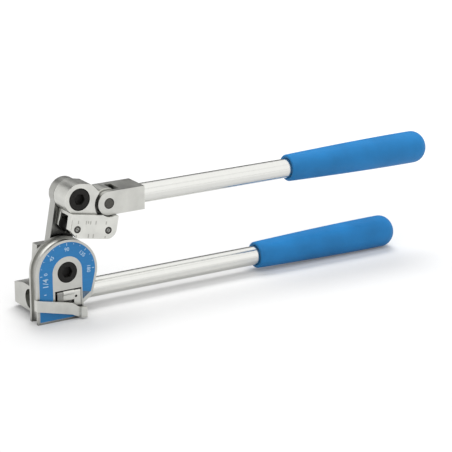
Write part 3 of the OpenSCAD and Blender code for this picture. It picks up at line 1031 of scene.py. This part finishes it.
class BENDER_OT_scale_print(bpy.types.Operator):
    """Prints the ticks, the plain figures and the tube size on the scale plate"""

    bl_idname = "bender.scale_print"
    bl_label = "Print the scale"

    # Degrees between two figures, each of which has a long tick
    FIGURE_STEP = 45
    # Radius of the figures' middle, and of the ticks' outer ends
    FIGURES_AT, TICKS_TO = 13.9 * MM, 17.7 * MM
    # The 0 stands a little past its tick, clear of the tube size
    ZERO_SHIFT = math.radians(4)
    # Width and length of the ticks
    LONG_TICK, SHORT_TICK = (0.32 * MM, 1.5 * MM), (0.24 * MM, 0.8 * MM)
    # Marks on the left leg, from the pivot: the tube size, and the bar below it with its size
    TUBE_SIZE_AT = (-14.06 * MM, -4.7 * MM)
    LOW_MARK_AT = (-14.6 * MM, -11.4 * MM)
    LOW_MARK = (1.5 * MM, 0.5 * MM)

    def execute(self, context):
        sizes = context.scene.bender_sizes
        for degrees in range(0, 181, self.FIGURE_STEP):
            angle = math.radians(degrees)
            shift = self.ZERO_SHIFT if degrees == 0 else 0
            printed_text(
                f"scale_figure_{degrees}",
                str(degrees),
                sizes.figure_height,
                on_scale(self.FIGURES_AT, angle + shift),
                angle - QUARTER_TURN,
            )
        printed_text(
            "scale_tube_size",
            "1/4",
            sizes.size_mark_height,
            on_plate(*self.TUBE_SIZE_AT),
            -QUARTER_TURN,
        )
        low_place = on_plate(*self.LOW_MARK_AT)
        low_mark = flat_bar("scale_low_mark", low_place, 0, *self.LOW_MARK, scale_ink())
        for bar in (low_mark, *self.ticks(sizes.tick_step)):
            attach(bar, "base")
        return {"FINISHED"}

    def ticks(self, step):
        """Models the first long and the first short tick, and turns copies about the pivot."""
        ticks, models = [], {}
        for i in range(round(math.pi / step) + 1):
            name, angle = f"scale_tick_{i:02d}", i * step
            # a tick at a figure is long: the property's rounding stays well below 0.1 degrees
            long = i * math.degrees(step) % self.FIGURE_STEP < 0.1
            if long in models:
                model, start = models[long]
                tick = twin(model, name)
                turn = Matrix.Rotation(angle - start, 4, "Y")
                to_pivot = Matrix.Translation(-DIE_PIVOT)
                tick.matrix_world = Matrix.Translation(DIE_PIVOT) @ turn @ to_pivot
                settle(tick)
            else:
                width, length = self.LONG_TICK if long else self.SHORT_TICK
                place = on_scale(self.TICKS_TO - length / 2, angle)
                tick = flat_bar(name, place, angle - QUARTER_TURN, width, length, scale_ink())
                models[long] = tick, angle
            ticks.append(tick)
        return ticks


class BENDER_OT_scale_end(bpy.types.Operator):
    """Cuts the dark end panel of the scale's right leg from a copy of the plate"""

    bl_idname = "bender.scale_end"
    bl_label = "Cut the scale's end panel"

    # The panel lies right of LEFT and below a line through TOP_AT, which falls to the right
    LEFT = 9 * MM
    TOP_AT, TOP_NORMAL = (9.6 * MM, 0, 16.2 * MM), (0.25, 0, 0.97)

    def execute(self, context):
        piece = loose_copy("scale_plate", "scale_end_panel")
        ink = context.scene.bender_sizes.ink
        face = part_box("scale_plate")[0].y
        bpy.ops.object.mode_set(mode="EDIT")
        cut_off((self.LEFT, 0, 0), (-1, 0, 0))
        cut_off(self.TOP_AT, self.TOP_NORMAL)
        cut_off((0, face + ink, 0), (0, 1, 0))
        bpy.ops.mesh.select_all(action="SELECT")
        bpy.ops.transform.translate(value=(0, -ink, 0))
        close_edit()
        if not piece.data.polygons:
            raise RuntimeError("the end panel has no faces")
        bpy.ops.object.shade_flat()
        coat(piece, slate_ink())
        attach(piece, "base")
        return {"FINISHED"}


class BENDER_OT_cheek_marks(bpy.types.Operator):
    """Stamps the short marks on the front cheek, and paints a shade line along its left edge"""

    bl_idname = "bender.cheek_marks"
    bl_label = "Stamp the front cheek"

    # Bars, from the leading axle: along the cheek, up it, and length (mm)
    MARKS = (
        (0.0, 4.4, 1.9),
        (5.2, 4.3, 2.0),
        (6.6, 4.5, 1.6),
        (8.1, 4.3, 2.0),
        (11.6, 4.4, 2.1),
        (18.4, 4.4, 1.9),
        (7.8, -3.6, 2.3),
        (11.0, -3.6, 2.3),
        (-0.2, -4.1, 1.7),
        (19.0, -4.1, 1.3),
    )
    # Painted shade: a dark line for the shaded step between the cheek's left border and its front
    # face
    EDGE_LINE = (-4.15, 1.5, 8.0)
    # Widths of the bars and of the painted shade line (mm)
    MARK_WIDTH, LINE_WIDTH = 0.6, 0.28

    def execute(self, context):
        for i, mark in enumerate(self.MARKS):
            self.stamp(f"cheek_mark_{i}", *mark, self.MARK_WIDTH)
        # the edge line is painted shade, drawn with the stamped marks' finish
        self.stamp("cheek_edge_shade_line", *self.EDGE_LINE, self.LINE_WIDTH)
        return {"FINISHED"}

    def stamp(self, name, along, up, length, width):
        """One bar on the cheek's front face, with its sizes in mm."""
        place = LEADING_ROLL + ALONG * along * MM + UP * up * MM
        place.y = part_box("front_cheek")[0].y
        bar = flat_bar(name, place, LEAN, width * MM, length * MM, stamped_mark())
        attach(bar, "support")


class BENDER_OT_pin_ends(bpy.types.Operator):
    """Dresses the slotted ends of the roll axles and the peened end of the clevis pin"""

    bl_idname = "bender.pin_ends"
    bl_label = "Dress the pin ends"

    SIDES = 48
    # Slotted axle end: radius, half the slot's width, depth, how far it lies in the cheek's face
    END_R, SLOT, END_DEPTH, SUNK = 1.25 * MM, 0.17 * MM, 0.45 * MM, 0.05 * MM
    # How far each slot was turned when it was riveted
    LEADING_TURN, TRAILING_TURN = 0.9, -0.6
    # Clevis pin's end: radius, depth, how far its middle stands out of the pin
    PIN_R, PIN_DEPTH, PROUD = 2.75 * MM, 0.16 * MM, 0.02 * MM
    # Its raised ring, the slope inside it and how deep the peened centre lies
    RING, SLOPE, HOLLOW = 0.55 * MM, 0.5 * MM, 0.06 * MM
    # Rounding of the edges: axle ends, pin end
    END_ROUND, PIN_ROUND = 0.12 * MM, 0.05 * MM

    def execute(self, context):
        leading = self.slotted_end("axle_end_leading")
        trailing = twin(leading, "axle_end_trailing")
        turn = Matrix.Rotation(self.LEADING_TURN - self.TRAILING_TURN, 4, "Y")
        to_axle = Matrix.Translation(-LEADING_ROLL)
        trailing.matrix_world = Matrix.Translation(TRAILING_ROLL) @ turn @ to_axle
        settle(trailing)
        for end in (leading, trailing):
            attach(end, "support")
        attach(self.pin_end("clevis_pin_end"), "upper_handle")
        return {"FINISHED"}

    def button(self, name, radius, depth, place):
        """Round button that faces the front."""
        obj = added(
            name,
            bpy.ops.mesh.primitive_cylinder_add,
            vertices=self.SIDES,
            radius=radius,
            depth=depth,
            location=place,
            rotation=(QUARTER_TURN, 0, 0),
        )
        settle(obj)
        return obj

    def slotted_end(self, name):
        """Riveted end of the leading axle: a low button with a slot across it."""
        x, z = LEADING_ROLL.x, LEADING_ROLL.z
        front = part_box("front_cheek")[0].y + self.SUNK
        middle = (x, front + self.END_DEPTH / 2, z)
        obj = self.button(name, self.END_R, self.END_DEPTH, middle)
        side = Vector((math.cos(self.LEADING_TURN), 0, math.sin(self.LEADING_TURN)))
        bpy.ops.object.mode_set(mode="EDIT")
        cut_off(Vector(middle) + side * self.SLOT, -side)
        bpy.ops.mesh.select_all(action="SELECT")
        bpy.ops.mesh.duplicate()
        bpy.ops.transform.rotate(value=math.pi, orient_axis="Y", center_override=middle)
        close_edit()
        round_edges(obj, self.END_ROUND, SHARP_END)
        coat(obj, plain_steel())
        return obj

    def pin_end(self, name):
        """Clevis pin's end: a raised ring round a peened centre."""
        low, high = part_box("clevis_pin")
        centre = (low + high) / 2
        middle = (centre.x, low.y - self.PROUD, centre.z)
        obj = self.button(name, self.PIN_R, self.PIN_DEPTH, middle)
        clear_selection("FACE")
        for face in obj.data.polygons:
            # only the flat front looks this far forward
            face.select = face.normal.y < -0.9
        bpy.ops.object.mode_set(mode="EDIT")
        bpy.ops.mesh.inset(thickness=self.RING, depth=0.0)
        bpy.ops.mesh.inset(thickness=self.SLOPE, depth=-self.HOLLOW)
        bpy.ops.object.mode_set(mode="OBJECT")
        round_edges(obj, self.PIN_ROUND, SHARP_END)
        coat(obj, dark_steel())
        return obj


class BENDER_OT_studio(bpy.types.Operator):
    """Sets the floor, the white surround, the reflected cards, the soft lamps and the camera"""

    bl_idname = "bender.studio"
    bl_label = "Set up the studio"

    # Side of the floor (m) and its gap below the foot
    FLOOR_SIDE, FLOOR_GAP = 8, 0.02 * MM
    # Glow of the floor where it is seen: distance from the tool (m), strength
    FLOOR_GLOW = ((0.3, 0.12), (1.0, 0.5))
    # Light from the surround, and how white it is where it is seen
    FILL, SEEN_WHITE = 0.5, 1.0
    # Upright cards: name, place (m), width and height (m), turn about the upright axis
    CARDS = (
        ("card_behind", (0.95, 1.5, 0.55), (3.4, 1.0), math.radians(-32)),
        ("card_high", (-0.15, 2.2, 1.45), (0.9, 0.9), math.radians(4)),
    )
    # Lamps: name, place (m), sides (m), power (W), whether metal mirrors it
    LAMPS = (
        ("front_softbox", (-0.5, -1.5, 2.2), (2.4, 2.4), 30.0, True),
        ("top_softbox", (0.7, 0.75, 2.2), (1.3, 1.3), 38.0, False),
        ("overhead_strip", (1.1, 0.13, 1.9), (2.4, 1.5), 3.2, True),
        ("right_strip", (1.1, -1.65, 0.93), (2.0, 1.5), 2.6, True),
    )
    # Camera fitted to the photograph: place (m), direction, sensor and lens (mm)
    CAMERA_AT = (-0.49242, -0.9707, 0.39387)
    CAMERA_LOOK = Vector((0.5046, 0.8106, -0.2974))
    SENSOR, LENS = 36, 156.1

    def execute(self, context):
        self.floor()
        self.world(context.scene)
        self.cards()
        self.lamps()
        self.camera(context.scene)
        context.scene.view_settings.view_transform = "Standard"
        return {"FINISHED"}

    def seen(self, tree):
        """1 for rays that see the surround itself: from the camera, a mirror or a glass."""
        path = add_node(tree, "ShaderNodeLightPath").outputs
        seen = path["Is Camera Ray"]
        for kind in ("Is Glossy Ray", "Is Transmission Ray"):
            links = {0: seen, 1: path[kind]}
            seen = add_node(tree, "ShaderNodeMath", {"operation": "MAXIMUM"}, links).outputs[0]
        return seen

    def floor(self):
        """Pale paper that keeps the shadow and fades to plain white away from the tool."""
        floor = added(
            "studio_floor",
            bpy.ops.mesh.primitive_plane_add,
            size=self.FLOOR_SIDE,
            location=(0, 0, CAD_BOX[0].z - self.FLOOR_GAP),
        )
        settle(floor)
        finish, tree = new_finish("studio_paper")
        paper = add_node(tree, "ShaderNodeBsdfDiffuse", {"Color": linear("D6D6D6")})
        coords = add_node(tree, "ShaderNodeTexCoord")
        away = add_node(
            tree, "ShaderNodeVectorMath", {"operation": "LENGTH"}, {0: coords.outputs["Object"]}
        )
        fade = add_node(
            tree,
            "ShaderNodeValToRGB",
            {"stops": [(distance, grey(glow)) for distance, glow in self.FLOOR_GLOW]},
            {"Fac": away.outputs["Value"]},
        )
        glow = add_node(
            tree, "ShaderNodeEmission", {"Color": grey(1)}, {"Strength": fade.outputs["Color"]}
        )
        lit = add_node(
            tree, "ShaderNodeAddShader", links={0: paper.outputs[0], 1: glow.outputs[0]}
        )
        mixed = add_node(
            tree,
            "ShaderNodeMixShader",
            links={0: self.seen(tree), 1: paper.outputs[0], 2: lit.outputs[0]},
        )
        add_node(tree, "ShaderNodeOutputMaterial", links={"Surface": mixed.outputs[0]})
        coat(floor, finish)

    def world(self, scene):
        """White surround that lights the tool less than it shows."""
        world = bpy.data.worlds.new("studio_surround")
        scene.world = world
        world.use_nodes = True
        tree = world.node_tree
        tree.nodes.clear()
        fill, white = (
            add_node(tree, "ShaderNodeBackground", {"Color": grey(1), "Strength": strength})
            for strength in (self.FILL, self.SEEN_WHITE)
        )
        mixed = add_node(
            tree,
            "ShaderNodeMixShader",
            links={0: self.seen(tree), 1: fill.outputs[0], 2: white.outputs[0]},
        )
        add_node(tree, "ShaderNodeOutputWorld", links={"Surface": mixed.outputs[0]})

    def cards(self):
        """Grey cards that only reflections see: they draw the metal's dark streaks and tops."""
        finish, tree = new_finish("studio_card")
        card = add_node(tree, "ShaderNodeBsdfDiffuse", {"Color": linear("646464")})
        add_node(tree, "ShaderNodeOutputMaterial", links={"Surface": card.outputs[0]})
        for name, place, size, turn in self.CARDS:
            obj = added(
                name,
                bpy.ops.mesh.primitive_plane_add,
                size=1,
                location=place,
                rotation=(QUARTER_TURN, 0, turn),
            )
            obj.scale = (*size, 1)
            settle(obj)
            obj.visible_camera = obj.visible_diffuse = obj.visible_shadow = False
            coat(obj, finish)

    def lamps(self):
        """Soft lamps, all aimed at the tool's middle."""
        aim = (CAD_BOX[0] + CAD_BOX[1]) / 2
        for name, place, size, power, mirrored in self.LAMPS:
            lamp = added(name, bpy.ops.object.light_add, type="AREA", location=place)
            lamp.data.shape = "RECTANGLE"
            lamp.data.size, lamp.data.size_y = size
            lamp.data.energy = power
            lamp.visible_glossy = mirrored
            lamp.rotation_euler = (aim - Vector(place)).to_track_quat("-Z", "Y").to_euler()

    def camera(self, scene):
        """Camera at the photograph's viewing angle."""
        bpy.ops.object.camera_add(location=self.CAMERA_AT)
        camera = bpy.context.view_layer.objects.active
        camera.rotation_euler = self.CAMERA_LOOK.to_track_quat("-Z", "Y").to_euler()
        camera.data.sensor_width = self.SENSOR
        camera.data.lens = self.LENS
        scene.camera = camera


class BENDER_PT_panel(bpy.types.Panel):
    """Lists the sizes, the colours and the steps that dress the bender"""

    bl_label = "Tube Bender"
    bl_idname = "BENDER_PT_panel"
    bl_space_type = "VIEW_3D"
    bl_region_type = "UI"
    bl_category = "Tube Bender"

    def draw(self, context):
        for group in (context.scene.bender_sizes, context.scene.bender_colours):
            for name in group.__annotations__:
                self.layout.prop(group, name)
        for step in STEPS:
            self.layout.operator(step.bl_idname)


STEPS = (
    BENDER_OT_plain_nodes,
    BENDER_OT_machined,
    BENDER_OT_black_steel,
    BENDER_OT_grips,
    BENDER_OT_scale_print,
    BENDER_OT_scale_end,
    BENDER_OT_cheek_marks,
    BENDER_OT_pin_ends,
    BENDER_OT_studio,
)
CLASSES = (BenderSizes, BenderColours, *STEPS, BENDER_PT_panel)


def register():
    """Registers the classes and gives the scene its sizes and colours."""
    for cls in CLASSES:
        bpy.utils.register_class(cls)
    bpy.types.Scene.bender_sizes = bpy.props.PointerProperty(type=BenderSizes)
    bpy.types.Scene.bender_colours = bpy.props.PointerProperty(type=BenderColours)


def unregister():
    """Takes back what register did."""
    del bpy.types.Scene.bender_colours
    del bpy.types.Scene.bender_sizes
    for cls in reversed(CLASSES):
        bpy.utils.unregister_class(cls)


def main():
    """Dresses the bender step by step."""
    register()
    bpy.ops.bender.plain_nodes()
    bpy.ops.bender.machined()
    bpy.ops.bender.black_steel()
    bpy.ops.bender.grips()
    bpy.ops.bender.scale_print()
    bpy.ops.bender.scale_end()
    bpy.ops.bender.cheek_marks()
    bpy.ops.bender.pin_ends()
    bpy.ops.bender.studio()


if __name__ == "__main__":
    main()
